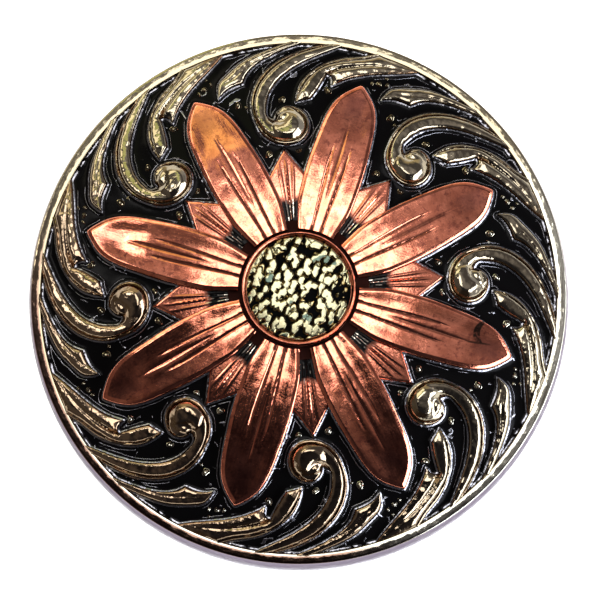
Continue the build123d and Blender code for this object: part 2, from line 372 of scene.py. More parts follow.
copper = Finish("copper_finish", Specular_IOR_Level=0.0)
grain, tone, clean = aged_copper(copper, (0.46, 0.145, 0.085), (0.66, 0.225, 0.135), 0.7)
rubbed = copper.between(copper.noise(0.45, 5, 0.7), 0.36, 0.5)
tone = copper.mixed(rubbed, (0.33, 0.1, 0.065), tone)
lengthwise = copper.add("ShaderNodeCombineXYZ", None, {
    "X": copper.stored("across"), "Y": copper.stored("along") * 0.12, "Z": copper.stored("along") * 0.02})
strokes = copper.noise(0.11, 3, 0.6, lengthwise)
from_rib = abs(copper.stored("across") - long_rib) + (grain - 0.5) * 0.6
up_petal = copper.stored("along") + (grain - 0.5) * 1.6
tip = copper.between(from_rib, 0.95, 0.35) * copper.between(up_petal, 12.3, 13.3)
tip = tip * copper.between(up_petal, 15.0, 14.4) * 0.6
tone = copper.mixed(tip, tone, (0.20, 0.07, 0.055))
print("petal copper", len(copper.tree.nodes), "nodes")

# %% The flaw on one petal
spot_x, spot_y, _ = copper.parts(copper.place())
outside, hollow = [copper.add("ShaderNodeVectorMath", {"operation": "DISTANCE"}, {
    0: copper.place((1, 1, 0)), 1: (middle_x, -3.0, 0)}, "Value") for middle_x in (13.12, 13.58)]
crescent = copper.between(outside, 1.04, 0.96) * copper.between(hollow, 0.94, 1.02)
over_crease = spot_y + spot_x * 0.1 + 2.33
crescent = crescent * copper.between(over_crease, -0.06, 0.04)
crescent = crescent * copper.between(copper.noise(0.3, 2), 0.2, 0.5)
# Painted shade: the fine crease has no groove in the mesh, only a dark line in the colour.
crease_shade_line = copper.between(spot_x, 11.4, 12.0) * copper.between(spot_x, 13.6, 12.8)
crease_shade_line = crease_shade_line * copper.between(abs(over_crease), 0.1, 0.03)
tone = copper.mixed(crescent.or_more(crease_shade_line * 0.85), tone, (0.05, 0.03, 0.022))
copper.wire(
    Base_Color=copper.mixed(clean, copper_dark, tone),
    Metallic=copper.between(clean, 0, 0.5),
    Roughness=copper.between(strokes * 0.6 + grain * 0.4, 0.3, 0.7, 0.07, 0.15),
)
copper.bumpy(strokes + grain, 0.004)

# %% Copper with painted-over roots for the small petals
shaded = Finish("shaded_copper_finish", Specular_IOR_Level=0.05)
grain, tone, clean = aged_copper(shaded, (0.40, 0.13, 0.08), (0.62, 0.21, 0.13), 0.75)
unpainted = shaded.between(shaded.stored("inner") + (grain - 0.5) * 0.5, 6.0, 6.6)
from_rib = abs(shaded.stored("across") - small_rib)
threads = shaded.between(from_rib, 0.07, 0.02) + shaded.between(abs(from_rib - 0.34), 0.07, 0.02)
threads = threads * shaded.between(shaded.noise(0.8, 2), 0.42, 0.55)
root_colour = shaded.mixed(threads, (0.002, 0.002, 0.002), (0.55, 0.5, 0.42))
shaded.wire(
    Base_Color=shaded.mixed(unpainted, root_colour, shaded.mixed(clean, copper_dark, tone)),
    Metallic=unpainted.or_more(threads),
    Roughness=shaded.between(grain, 0.3, 0.7, 0.08, 0.16),
)
shaded.bumpy(grain, 0.006)

# %% Hammered nickel for the eye, plain brass for the post
hammered = Finish("hammered_nickel_finish", Specular_IOR_Level=0.0)
high_up = hammered.stored("crest")
clean = hammered.between(high_up, 0.25, 0.6)
tarnished = hammered.between(hammered.noise(1.1, 2), 0.62, 0.68)
top = hammered.mixed(tarnished, (0.22, 0.205, 0.125), (0.045, 0.062, 0.047))
lump = hammered.mixed(hammered.between(high_up, 0.55, 0.98), (0.13, 0.085, 0.025), top)
hammered.wire(
    Base_Color=hammered.mixed(clean, (0.002, 0.002, 0.002), lump),
    Metallic=clean,
    Roughness=hammered.between(hammered.noise(0.2, 2), 0.3, 0.7, 0.14, 0.24),
)
brass = Finish("post_brass_finish", Metallic=1.0)
brass.wire(
    Base_Color=brass.mixed(brass.noise(1.5, 3), (0.72, 0.52, 0.25), (0.82, 0.62, 0.33)),
    Roughness=brass.noise(0.3, 2, place=brass.place((1, 1, 6))) * 0.2 + 0.22,
)
white_card = Finish("white_card", Roughness=0.6, Base_Color=(0.93, 0.93, 0.93, 1),
                    Emission_Color=(1, 1, 1, 1), Emission_Strength=0.9)
table.data.materials.append(white_card.material)

# %% [markdown]
# ## Shapes from outlines
#
# Scrolls, leaves and petals are all the same kind of thing: a flat outline, with a top whose
# height depends on how far in a point lies. They could be sculpted, or swept along a curve, but
# a height written as a rule keeps every crease where the photo has it. So an outline is filled
# with a fine net of triangles, closer at the edge where the metal rounds over, and each point
# of the net is lifted to the height that the rule gives.

# %% Lines
def through(rows, gap=0.1):
    """Points a gap apart on a smooth line through every row."""
    rows = np.asarray(rows, float)
    runs = np.linalg.norm(np.diff(rows, axis=0), axis=1)
    stops = np.concatenate([[0], np.cumsum(runs)])
    last = len(rows) - 1
    system = np.eye(last + 1)
    pull = np.zeros_like(rows)
    for i in range(1, last):
        system[i, i - 1:i + 2] = runs[i - 1], 2 * (runs[i - 1] + runs[i]), runs[i]
        pull[i] = 6 * ((rows[i + 1] - rows[i]) / runs[i] - (rows[i] - rows[i - 1]) / runs[i - 1])
    bend = np.linalg.solve(system, pull)
    at = np.linspace(0, stops[-1], max(3, int(stops[-1] / gap) + 1))
    k = np.clip(np.searchsorted(stops, at, side="right") - 1, 0, last - 1)
    run = runs[k][:, None]
    a = (stops[k + 1] - at)[:, None] / run
    b = 1 - a
    curve = a * rows[k] + b * rows[k + 1]
    return curve + ((a**3 - a) * bend[k] + (b**3 - b) * bend[k + 1]) * run**2 / 6


def arc(middle, radius, start, end, gap=0.1):
    """Points along part of a circle, in degrees."""
    turn = np.radians(np.linspace(start, end, int(abs(radians(end - start)) * radius / gap) + 2))
    return np.asarray(middle) + radius * np.stack([np.cos(turn), np.sin(turn)], 1)


def joined(*lines):
    """One line from several that follow on, without doubled points."""
    line = np.concatenate(lines)
    step = np.linalg.norm(line - np.roll(line, 1, axis=0), axis=1)
    return line[step > 0.02]


print("a quarter of a 1 mm circle has", len(arc((0, 0), 1, 0, 90)), "points")

# %% Distances and insides
def nearest(line, spots):
    """Distance from each spot to a line, and the share of the way along where it is nearest."""
    starts, runs = line[:-1], np.diff(line, axis=0)
    lengths = np.linalg.norm(runs, axis=1)
    stops = np.concatenate([[0], np.cumsum(lengths)])
    best, where = np.full(len(spots), 1e9), np.zeros(len(spots))
    for start, run, length, stop in zip(starts, runs, lengths, stops):
        if length == 0:
            continue
        share = np.clip((spots - start) @ run / length**2, 0, 1)
        away = np.linalg.norm(spots - start - share[:, None] * run, axis=1)
        closer = away < best
        best[closer] = away[closer]
        where[closer] = (stop + share[closer] * length) / stops[-1]
    return best, where


def inside(outline, spots):
    """Which spots lie inside a closed outline."""
    hit = np.zeros(len(spots), bool)
    for (x0, y0), (x1, y1) in zip(outline, np.roll(outline, -1, axis=0)):
        if y0 != y1:
            across = x0 + (spots[:, 1] - y0) * (x1 - x0) / (y1 - y0)
            hit ^= ((y0 > spots[:, 1]) != (y1 > spots[:, 1])) & (spots[:, 0] < across)
    return hit


square = np.array([(0.0, 0.0), (1.0, 0.0), (1.0, 1.0), (0.0, 1.0)])
print("is the middle inside a square?", inside(square, np.array([(0.5, 0.5)]))[0])

# %% A net of triangles inside an outline
def filled(spots, count):
    """Triangles between spots, of which the first few are the outline: places, faces and origins."""
    made = delaunay_2d_cdt([Vector(s) for s in spots], [], [list(range(count))], 1, 1e-6)
    return np.array([tuple(v) for v in made[0]]), [tuple(f) for f in made[2]], made[3]


def even_grid(outline, gap_x, gap_y):
    """Rows of spots over the box round an outline."""
    low, high = outline.min(0), outline.max(0)
    return np.stack(np.meshgrid(np.arange(low[0], high[0], gap_x), np.arange(low[1], high[1], gap_y)), 2)


def net(outline, gap, rings):
    """Triangles inside an outline, with rings close to its edge and an even net farther in."""
    closed = np.vstack([outline, outline[:1]])
    ahead = np.roll(outline, -1, axis=0) - np.roll(outline, 1, axis=0)
    ahead /= np.linalg.norm(ahead, axis=1)[:, None]
    x, y = outline.T
    area = np.sum(x * np.roll(y, -1) - np.roll(x, -1) * y)
    inward = np.stack([-ahead[:, 1], ahead[:, 0]], 1) * np.sign(area)
    groups = [outline]
    for ring in rings:
        spots = outline + ring * inward
        keep = inside(outline, spots) & (nearest(closed, spots)[0] > 0.96 * ring)
        groups.append(spots[keep])
    grid = even_grid(outline, gap, gap * 0.866)
    grid[1::2, :, 0] += gap / 2
    grid = grid.reshape(-1, 2)
    grid = grid[inside(outline, grid)]
    groups.append(grid[nearest(closed, grid)[0] > rings[-1] + gap / 2])
    return filled(np.concatenate(groups), len(outline))[:2]


print("net of a 1 mm square:", len(net(square, 0.1, (0.05,))[1]), "triangles")

# %% A closed shape on a net
def raised(outline, top, foot, gap, rings=(0.03, 0.08, 0.15, 0.23)):
    """Closed shape on an outline: a top and its stored numbers, upright walls, a plain underside."""
    spots, faces = net(outline, gap, rings)
    crossing = spots[list(faces[0])]
    if np.cross(crossing[1] - crossing[0], crossing[2] - crossing[0]) < 0:
        faces = [f[::-1] for f in faces]
    edges = {(f[i], f[(i + 1) % 3]) for f in faces for i in range(3)}
    rim = {a: b for a, b in edges if (b, a) not in edges}
    loop = [next(iter(rim))]
    while rim[loop[-1]] != loop[0]:
        loop.append(rim[loop[-1]])
    heights, numbers = top(spots)
    under = spots[loop]
    first, count = len(spots), len(loop)
    low = foot(np.linalg.norm(under, axis=1))
    points = np.vstack([np.column_stack([spots, heights]), np.column_stack([under, low])])
    walls = [(loop[i], first + i, first + (i + 1) % count, loop[(i + 1) % count]) for i in range(count)]
    _, floor, origins = filled(under, count)
    backs = {new: old[0] for new, old in enumerate(origins) if old}
    floor = [tuple(first + backs[v] for v in reversed(f)) for f in floor]
    numbers = {k: np.concatenate([v, np.zeros(count)]) for k, v in numbers.items()}
    return points, faces + walls + floor, numbers


slab = raised(square, lambda spots: (np.ones(len(spots)), {}), np.zeros_like, 0.2)
print("slab on a square:", len(slab[0]), "points,", len(slab[1]), "faces")

# %% Rounded edges, smooth steps, arches and grooves
def rounded(distance, radius):
    """How far a rounded edge of that radius has dropped, at a distance from the edge."""
    short = 1 - np.clip(distance / radius, 0, 1)
    return radius * (1 - np.sqrt(1 - short**2))


def eased(value, start, end):
    """Smooth step from 0 at the start to 1 at the end."""
    share = np.clip((value - start) / (end - start), 0, 1)
    return share * share * (3 - 2 * share)


def arched(left, right, rise):
    """Drop of an arch from one edge to another, at a distance from each."""
    middle = 2 * np.minimum(left, right) / (left + right + 1e-6)
    return rise * (1 - np.sqrt(1 - (1 - middle) ** 3))


def crease(line, widths, depths, spots):
    """Depth of a soft groove along a line, with its width and depth given at even steps."""
    away, where = nearest(line, spots)
    steps = np.linspace(0, 1, len(widths))
    width = np.interp(where, steps, widths)
    return np.interp(where, steps, depths) * np.exp(-((away / width) ** 2))


print("half-way in, an edge of 0.1 mm has dropped", round(float(rounded(0.05, 0.1)), 3), "mm")

# %% [markdown]
# A mesh becomes a piece when it has a name, a finish and a body to ride on. Faces farther than
# 38 degrees apart keep a hard edge between them, and all others are shaded smooth.

# %% From points to a piece
sharp_angle = radians(38)


def make_object(name, finish, points, faces, numbers=None):
    """Object from points in millimetres, with numbers stored at each point. Not yet a piece."""
    mesh = bpy.data.meshes.new(name)
    mesh.from_pydata((np.asarray(points) * MM).tolist(), [], faces)
    for key, values in (numbers or {}).items():
        stored = mesh.attributes.new(key, "FLOAT", "POINT")
        stored.data.foreach_set("value", np.asarray(values, np.float32))
    mesh.shade_smooth()
    mesh.set_sharp_from_angle(angle=sharp_angle)
    mesh.materials.append(finish.material)
    thing = bpy.data.objects.new(name, mesh)
    bpy.context.collection.objects.link(thing)
    return thing


def settle(thing, node):
    """Makes an object a piece of the concho that stands for a node of the model."""
    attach(thing, "root")
    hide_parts(node)
    size = [round(c / MM, 2) for c in thing.dimensions]
    print(thing.name, len(thing.data.polygons), "faces,", size, "mm")


# %% [markdown]
# ## Eight times round
#
# The pattern is drawn once, with a long petal along +Y, and stands eight times round the middle.
# Copying objects by hand would do it, but Geometry Nodes say it in one rule: one copy for each
# point of a line whose points all lie in the middle, each turned one step farther.

# %% A class for geometry trees
class Recipe(Nodes):
    """A geometry tree with named inputs that ends in Realize Instances and Set Material."""

    def __init__(self, name, piece, sizes):
        super().__init__(bpy.data.node_groups.new(name, "GeometryNodeTree"))
        self.identifiers = {}
        labels = {piece: "Geometry", **sizes, "Finish": "Material"}
        for label, kind in labels.items():
            socket = self.tree.interface.new_socket(label, in_out="INPUT", socket_type="NodeSocket" + kind)
            self.identifiers[label] = socket.identifier
        self.tree.interface.new_socket(piece, in_out="OUTPUT", socket_type="NodeSocketGeometry")
        start = add_node(self.tree, "NodeGroupInput").outputs
        self.given = {label: Field(self.tree, start[label]) for label in labels}

    def lifted(self, piece, height):
        """Moves each point of a piece up by a field."""
        offset = self.add("ShaderNodeCombineXYZ", None, {"Z": height})
        return self.add("GeometryNodeSetPosition", None, {"Geometry": piece, "Offset": offset})

    def end(self, geometry):
        """Closes the tree."""
        real = self.add("GeometryNodeRealizeInstances", None, {"Geometry": geometry})
        dressed = self.add("GeometryNodeSetMaterial", None, {
            "Geometry": real, "Material": self.given["Finish"]})
        add_node(self.tree, "NodeGroupOutput", None, {0: dressed})
        print(self.tree.name, len(self.tree.nodes), "nodes")

    def apply(self, thing, finish, values):
        """Runs the tree on an object and keeps the result as its plain mesh."""
        modifier = thing.modifiers.new(self.tree.name, "NODES")
        modifier.node_group = self.tree
        for label, value in {**values, "Finish": finish.material}.items():
            modifier[self.identifiers[label]] = value
        view = bpy.context.evaluated_depsgraph_get()
        result = bpy.data.meshes.new_from_object(
            thing.evaluated_get(view), preserve_all_data_layers=True, depsgraph=view)
        thing.modifiers.remove(modifier)
        thing.data = result


# %% Geometry Nodes: copies round the middle
ring = Recipe("copies_round_the_middle", "Pattern", {"Copies": "Int", "First turn": "Float", "Step": "Float"})
line = ring.add("GeometryNodeMeshLine", None, {"Count": ring.given["Copies"], "Offset": (0, 0, 0)})
bearing = ring.add("GeometryNodeInputIndex") * ring.given["Step"] + ring.given["First turn"]
turned = ring.add("ShaderNodeCombineXYZ", None, {"Z": bearing})
facing = ring.add("FunctionNodeEulerToRotation", None, {"Euler": turned})
ring.end(ring.add("GeometryNodeInstanceOnPoints", None, {
    "Points": line, "Instance": ring.given["Pattern"], "Rotation": facing}))

# %% [markdown]
# Nothing cast, pressed or painted is as even as a drawing. That unevenness follows no outline, so
# it is left to a second geometry tree: it lifts each point of a piece by a slow noise.

# %% Geometry Nodes: uneven surfaces
uneven = Recipe("uneven_surface", "Piece", {"Lift": "Float", "Wave": "Float", "Seed": "Float"})
waves = uneven.add("ShaderNodeTexNoise", {"noise_dimensions": "4D"}, {
    "W": uneven.given["Seed"], "Scale": 1 / uneven.given["Wave"], "Detail": 2.0})
uneven.end(uneven.lifted(uneven.given["Piece"], (waves - 0.5) * uneven.given["Lift"]))


def make_uneven(thing, finish, lift, wave, seed):
    """Lifts and sinks a piece by noise: lift and wave in millimetres."""
    uneven.apply(thing, finish, {"Lift": lift * MM, "Wave": wave * MM, "Seed": seed})


def lay_round(name, finish, shape, node, unevenness=None):
    """Eight of a shape, turned from where it is drawn to where it lies, as one piece."""
    thing = make_object(name, finish, *shape)
    ring.apply(thing, finish, {"Copies": repeats, "First turn": first_turn - pi / 2, "Step": -pitch})
    if unevenness:
        make_uneven(thing, finish, *unevenness)
    settle(thing, node)


# %% [markdown]
# ## The disc
#
# One casting carries everything: a side wall, a rim with a rounded outer edge and a slope inside
# it, the domed plate, and a hollow back with a land that the concho rests on. All of that is one
# section turned round the middle, so it is made as a lathe would make it. Its stored numbers say
# what is rim, wall or back, because each has a tone of its own; the wall's tone is painted shade
# and reflection.

# %% A section turned round the middle
def lathe(section, count=256):
    """Closed ring from a closed section of (radius, height) rows, anticlockwise."""
    section = np.asarray(section, float)
    turns = np.linspace(0, 2 * pi, count, endpoint=False)
    points = np.concatenate([
        np.column_stack([section[:, 0] * cos(t), section[:, 0] * sin(t), section[:, 1]]) for t in turns])
    rows = len(section)
    faces = []
    for i in range(count):
        here, there = i * rows, (i + 1) % count * rows
        for k in range(rows):
            ahead = (k + 1) % rows
            faces.append((here + k, there + k, there + ahead, here + ahead))
    return points, faces


def corner(middle, radius, start, end, steps=6):
    """Rounded corner of a section, in degrees."""
    return [(middle[0] + radius * cos(radians(a)), middle[1] + radius * sin(radians(a)))
            for a in np.linspace(start, end, steps + 1)]


print("a square ring from the lathe:", len(lathe(square + (1, 0), 64)[1]), "faces")

# %% Disc
hole_r, pad_r, seat_r, land_r = 2.5, 4.2, 4.9, 17.15
foot_round, hollow_edge_z = 0.25, 0.7
seat_z = float(dome_z(seat_r)) - 0.16
pad_z = float(dome_z(pad_r)) - 2.1
disc_section = [(hole_r, seat_z), (hole_r, pad_z), (pad_r, pad_z)]
disc_section += [(r, float(dome_z(r, hollow_edge_z))) for r in (pad_r, *np.linspace(4.6, land_r, 14))]
disc_section += [(land_r, 0.0), (rim_r - foot_round, 0.0)]
disc_section += corner((rim_r - foot_round, foot_round), foot_round, -90, 0)
disc_section += [(rim_r, 1.6), (18.99, 2.3), (18.86, 2.85)]
disc_section += corner((18.7, 3.0), 0.12, 10, 78, 5)
disc_section += [(18.6, 3.135), (18.45, 3.157), (18.3, 3.18)]
disc_section += corner((18.2, 3.08), 0.1, 78, 172, 6)
disc_section += [(18.07, 3.0), (18.03, 2.88), (17.98, 2.825)]
disc_section += [(r, float(dome_z(r))) for r in np.linspace(17.7, 4.95, 16)]
disc_section += [(4.95, seat_z)]
points, faces = lathe(disc_section)
radius = np.linalg.norm(points[:, :2], axis=1)
rim_in, band_in, rim_low_z = 18.08, 18.29, 2.95
side_in, side_high_z = 18.75, 3.06
back_clean = 0.66
crest = np.where(radius > rim_in, 1.0, 0.1)
crest[points[:, 2] < dome_z(np.minimum(radius, 18)) - 0.5] = back_clean
side = (radius > side_in) & (points[:, 2] < side_high_z)
rim = (radius > rim_in) & (points[:, 2] > rim_low_z)
band = rim & (radius > band_in)
disc = make_object("disc", nickel, points, faces, {
    "crest": crest, "side": side, "rim": rim, "band": band, "out": radius})
settle(disc, "base")

# %% [markdown]
# ## The scroll
#
# Each scroll grows out of the rim, swells, and turns into a volute: a round knob that the stem
# curls over. Along its outer side runs a thin lip with a fine groove inside it, right round the
# volute. Where the curl meets the stem there is a notch, and a shallow valley runs on from it
# over the knob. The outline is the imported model's. The rule for the height adds the rest.

# %% Height of the relief
def drawn(rows):
    """Smooth line through rows given in shares of the ground's radius."""
    return through(np.asarray(rows) * ground_r)


def relief_z(spots):
    """Height of the cast relief's flat top."""
    return dome_z(np.linalg.norm(spots, axis=1), 3.3, 3.7)


def relief_foot(radius):
    """Where the relief's walls end, a little under the ground."""
    return dome_z(np.minimum(radius, 18.6)) - 0.25


def lipped(outer, inner, edge_r, lip_end, body_start, lip_drop, groove_drop, rise):
    """Size of a body by its width, and its drop: a lip along one side, a groove, then an arch."""
    size = np.clip((outer + inner) / 1.3, 0.35, 1)
    out = outer / size
    lip = rounded(out, edge_r) + np.interp(out, (lip_end, body_start + 0.02), (lip_drop, groove_drop))
    body = arched(np.maximum(out - body_start, 0), inner / size, rise)
    inward = eased(out, body_start - 0.03, body_start + 0.08)
    return size, (lip * (1 - inward) + body * inward) * size**0.5


def leaning(outer, inner):
    """Drop towards the inner side: the relief leans by a few hundredths."""
    return 0.06 * np.clip(outer - inner, -1, 1)


relief_gap = 0.09
close_rings = (0.03, 0.08, 0.13, 0.18, 0.23, 0.28, 0.35)
cast_lift, cast_wave = 0.12, 1.3


def cast(name, outer_line, edge_lines, top, gap, unevenness):
    """Lays a shape of the relief round. Its top is a rule of the distances to its two sides."""
    edge = np.vstack(edge_lines)

    def from_sides(spots):
        return top(spots, nearest(outer_line, spots)[0], nearest(edge, spots)[0])

    outline = joined(outer_line, *edge_lines)
    shape = raised(outline, from_sides, relief_foot, gap, close_rings)
    lay_round(name, nickel, shape, "base", unevenness)
    return outline


print("relief", round(float(relief_z(np.zeros((1, 2)))[0]), 2), "mm up in the middle")

# %% Scroll: outline
wide_middle, wide_r = (5.2, 11.5), 2.2
curl_r = 1.42
tightens = 255.5
curl_middle = (wide_middle[0] + (wide_r - curl_r) * cos(radians(tightens)),
               wide_middle[1] + (wide_r - curl_r) * sin(radians(tightens)))
scroll_inner = drawn([
    (0.233, 0.643), (0.221, 0.665), (0.232, 0.696), (0.254, 0.729), (0.293, 0.762), (0.348, 0.787),
    (0.497, 0.801), (0.638, 0.788)])
scroll_outer = joined(
    drawn([(0.594, 0.822), (0.470, 0.851), (0.343, 0.849), (0.238, 0.801), (0.182, 0.727), (0.1657, 0.6354)]),
    arc(wide_middle, wide_r, 180, tightens),
    arc(curl_middle, curl_r, tightens, 435),
)
curl_lip = through([
    (5.372, 12.115), (5.05, 12.1), (4.75, 12.0), (4.48, 11.78), (4.3, 11.6), (4.217, 11.638)])
print("outer side of the scroll:", len(scroll_outer), "points")

# %% Scroll: top
knob, knob_r, knob_rise = np.array((4.95, 10.62)), 1.15, 0.3
valley = through([(4.10, 11.75), (4.35, 11.42), (4.75, 11.22), (5.2, 11.33), (5.6, 11.25)])


def scroll_top(spots, outer, inner):
    """Lip, groove, arched body, knob and valley."""
    size, drop = lipped(outer, inner, 0.14, 0.15, 0.22, 0.22, 0.34, 0.34)
    drop = drop + leaning(outer, inner)
    far = np.linalg.norm(spots - knob, axis=1)
    dome = knob_rise * np.sqrt(np.clip(1 - (far / knob_r) ** 2, 0, 1))
    dome = dome * np.clip((outer / size - 0.24) / 0.5, 0, 1)
    hollow = crease(valley, (0.2, 0.24, 0.24, 0.2, 0.14), (0.16, 0.2, 0.18, 0.12, 0.0), spots)
    height = relief_z(spots) + 0.1 * size - drop + dome - hollow
    crest = np.clip(1.05 - 2.5 * drop / size**0.5 + 0.8 * dome - 1.6 * hollow, 0, 1)
    return height, {"crest": crest}


scroll_sides = (curl_lip, scroll_inner)
scroll_outline = cast(
    "scrolls", scroll_outer, scroll_sides, scroll_top, relief_gap, (cast_lift, cast_wave, 1.0))

# %% [markdown]
# ## The forked leaf and the single leaf
#
# Between two scrolls a leaf with two lobes grows out of the rim, and a slender leaf lies along
# the rim above it. The forked leaf has the scroll's lip along its outer side, a crease that runs
# on from the fork, and blunt facets where its lobes end. They are made by the scroll's method.

# %% Forked leaf
fork_outer = drawn([
    (0.735, 0.699), (0.663, 0.718), (0.608, 0.740), (0.497, 0.754), (0.398, 0.724), (0.346, 0.668)])
fork_sides = [drawn(rows) for rows in (
    [(0.346, 0.668), (0.3755, 0.6605), (0.405, 0.653)], [(0.405, 0.653), (0.436, 0.6685), (0.508, 0.714)],
    [(0.508, 0.714), (0.517, 0.700), (0.503, 0.663)],
    [(0.503, 0.663), (0.5525, 0.660), (0.663, 0.630), (0.7735, 0.580), (0.851, 0.550)])]
fork_crease = through([
    (9.25, 12.95), (9.9, 12.9), (10.8, 12.65), (12.0, 12.15), (13.4, 11.3), (14.4, 10.5)])
facets = (((6.45, 12.1), 0.75), ((9.35, 12.2), 0.65))


def fork_top(spots, outer, inner):
    """Lip and groove on the outer side, an arched body with a crease from the fork, blunt heads."""
    size, drop = lipped(outer, inner, 0.12, 0.14, 0.2, 0.16, 0.26, 0.3)
    drop = drop + leaning(outer, inner)
    widths, depths = (0.12, 0.14, 0.13, 0.11, 0.08, 0.06), (0.3, 0.2, 0.15, 0.1, 0.06, 0.0)
    hollow = crease(fork_crease, widths, depths, spots)
    crest = np.clip(1.05 - 2.6 * drop / size**0.5 - 1.8 * hollow, 0, 1)
    for spot, reach in facets:
        far = np.clip(1 - np.linalg.norm(spots - np.array(spot), axis=1) / reach, 0, 1)
        drop = drop + 0.22 * far
        crest = np.maximum(crest, np.clip(1.6 * far, 0, 0.9))
    return relief_z(spots) + 0.06 * size - drop - hollow, {"crest": crest}


fork_outline = cast(
    "forked_leaves", fork_outer, fork_sides, fork_top, relief_gap, (cast_lift, cast_wave, 2.0))

# %% Single leaf
leaf_outer = drawn([
    (0.459, 0.904), (0.331, 0.920), (0.248, 0.921), (0.166, 0.9005), (0.116, 0.878), (0.091, 0.826)])
leaf_sides = [drawn(rows) for rows in (
    [(0.091, 0.826), (0.127, 0.838), (0.204, 0.836)],
    [(0.204, 0.836), (0.2265, 0.856), (0.331, 0.887), (0.514, 0.873)])]
leaf_crease = through([(2.2, 15.6), (3.2, 15.75), (4.5, 16.1), (6.0, 16.2), (7.6, 16.0)])


def leaf_top(spots, outer, inner):
    """Arched from side to side, with a shallow crease along it."""
    size = np.clip(outer + inner, 0.35, 1)
    drop = arched(outer, inner, 0.36) * size**0.5 + leaning(outer, inner)
    hollow = crease(leaf_crease, (0.08, 0.1, 0.09, 0.07, 0.05), (0.0, 0.05, 0.07, 0.04, 0.0), spots)
    crest = np.clip(1.05 - 2.4 * drop / size**0.5 - 2.4 * hollow, 0, 1)
    return relief_z(spots) + 0.05 - drop - hollow, {"crest": crest}


leaf_outline = cast("single_leaves", leaf_outer, leaf_sides, leaf_top, 0.08, (0.1, cast_wave, 4.0))

# %% [markdown]
# ## The daisy
#
# Eight long petals are pressed from copper. Each has a narrow bevel all round, a rib in the
# middle with a deep groove on each side, and a crease that splits the rib farther out. Towards
# the point the petal is smooth. Under them lie eight small pointed petals with fine ribs, dark
# near the middle. Both kinds are made by the scroll's method too.

# %% Long petals: outline
petal_reach = 15.5
petal_side = [
    (1.30, 4.03), (1.60, 5.0), (1.87, 6.05), (1.97, 7.0), (2.03, 8.5), (2.0, 10.0), (1.93, 11.0),
    (1.85, 12.0), (1.71, 13.0), (1.38, 14.0), (0.98, 14.6), (0.6, 15.0), (0.22, 15.35), (0, petal_reach)]
right_side = through(petal_side)
left_side = right_side[::-1] * (-1, 1)
petal_end = arc((0, 0), 4.22, 90 + 17.9, 90 - 17.9)
petal_outline = joined(right_side, left_side, petal_end)
petal_rings = (0.03, 0.09, 0.16, 0.22, 0.28, 0.33)
groove_ys = (4.0, 5, 6, 7, 8, 9, 10, 10.8)
groove_xs = (0.33, 0.37, 0.43, 0.50, 0.55, 0.60, 0.62, 0.60)
split_top = 0.08
print("petal outline of", len(petal_outline), "points")


# %% Long petals: top
def petal_top(spots):
    """Bevel, two side grooves, and the crease in the rib."""
    x, y = spots.T
    away = np.minimum(nearest(right_side, spots)[0], nearest(left_side, spots)[0])
    drop = 0.105 * (1 - np.clip(away / 0.28, 0, 1)) + rounded(away, 0.05)
    depth = np.interp(y, (4.0, 5, 8, 10, 10.9), (0.05, 0.07, 0.09, 0.06, 0.0))
    width = np.interp(y, (4.0, 7, 8, 10, 10.9), (0.05, 0.06, 0.07, 0.06, 0.04))
    outward = (np.abs(x) - np.interp(y, groove_ys, groove_xs)) / width
    steep = np.exp(-((outward / 0.8) ** 2))
    split = np.interp(y, (6.3, 7.5, 10, 11.5, 12.7), (0.0, 0.05, split_top, 0.06, 0.0))
    slit = np.interp(y, (6.3, 10, 12.7), (0.06, 0.13, 0.06))
    shape = np.where(outward > 0, steep, np.exp(-np.abs(outward / 1.3)))
    hollow = depth * shape + split * np.exp(-np.abs(x / slit))
    dark = steep * eased(y, 10.6, 9.0) + 0.9 * np.exp(-((x / 0.06) ** 2)) * split / split_top
    half = np.interp(y, [row[1] for row in petal_side], [row[0] for row in petal_side])
    dish = 0.085 * eased(np.abs(x) / (half + 0.01), 0.35, 0.95) * eased(y, 14.6, 12.0)
    crown = -0.09 * np.exp(-((x / 0.95) ** 2)) * eased(y, 11.0, 13.4) * eased(y, 15.8, 13.6)
    height = dome_z(np.linalg.norm(spots, axis=1)) + 0.78 - drop - hollow + dish + crown
    return height, {"crest": np.clip(1 - 1.1 * drop - dark, 0, 1), "across": x + long_rib, "along": y}


def petal_foot(radius):
    """Underside of the long petals."""
    return dome_z(radius) + 0.05


petal = raised(petal_outline, petal_top, petal_foot, 0.07, petal_rings)
lay_round("long_petals", copper, petal, "large_petals", (0.1, 2.8, 6.0))

# %% Small petals: outline
def polar(radius, angle):
    """Place at a radius and an angle in radians."""
    return (radius * cos(angle), radius * sin(angle))


def evenly(rows, gap=0.12):
    """Points along straight runs."""
    runs = []
    for a, b in zip(rows[:-1], rows[1:]):
        a, b = np.array(a), np.array(b)
        count = max(2, int(np.linalg.norm(b - a) / gap))
        runs.append(a + (b - a) * np.linspace(0, 1, count, endpoint=False)[:, None])
    return np.concatenate(runs)


up_axis, small_axis, next_axis = pi / 2, pi / 2 - pitch / 2, pi / 2 - pitch
star_r, shoulder_r, small_reach = 4.95, 6.7, 10.17
small_corners = [
    polar(star_r, up_axis), polar(shoulder_r, up_axis), polar(small_reach, small_axis),
    polar(shoulder_r, next_axis), polar(star_r, next_axis), polar(star_r, small_axis)]
small_outline = evenly(small_corners + small_corners[:1])
small_edges = evenly(small_corners[1:4], 0.05)
print("small petal outline of", len(small_outline), "points")


